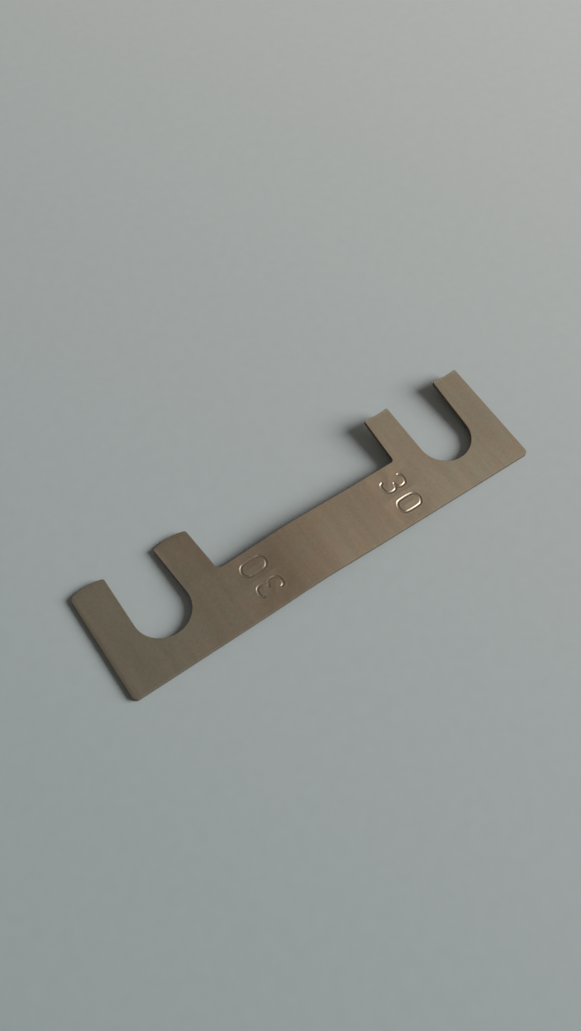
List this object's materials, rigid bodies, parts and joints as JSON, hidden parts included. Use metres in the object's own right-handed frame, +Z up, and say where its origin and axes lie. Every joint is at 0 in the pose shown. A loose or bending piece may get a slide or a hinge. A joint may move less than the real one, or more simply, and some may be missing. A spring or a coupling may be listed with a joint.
{
  "type": "strip fuse",
  "caption": "Flat zinc strip fuse: a narrow link between two wider forks, each with an open U slot for a clamping screw. Lightly bent and twisted from handling.",
  "frame": {"origin": "middle of the overall box, at the surface that the strip lies on", "axes": "+X along the strip from the left fork to the right fork, +Y across it toward the open ends of the slots, +Z up out of the stamped face"},
  "size_m": [0.0418, 0.0112, 0.0015],
  "materials": {
    "zinc_strip": "dull satin, warm grey-brown"
  },
  "bodies": {
    "root": {"fuse_strip": "zinc_strip"}
  },
  "joints": []
}
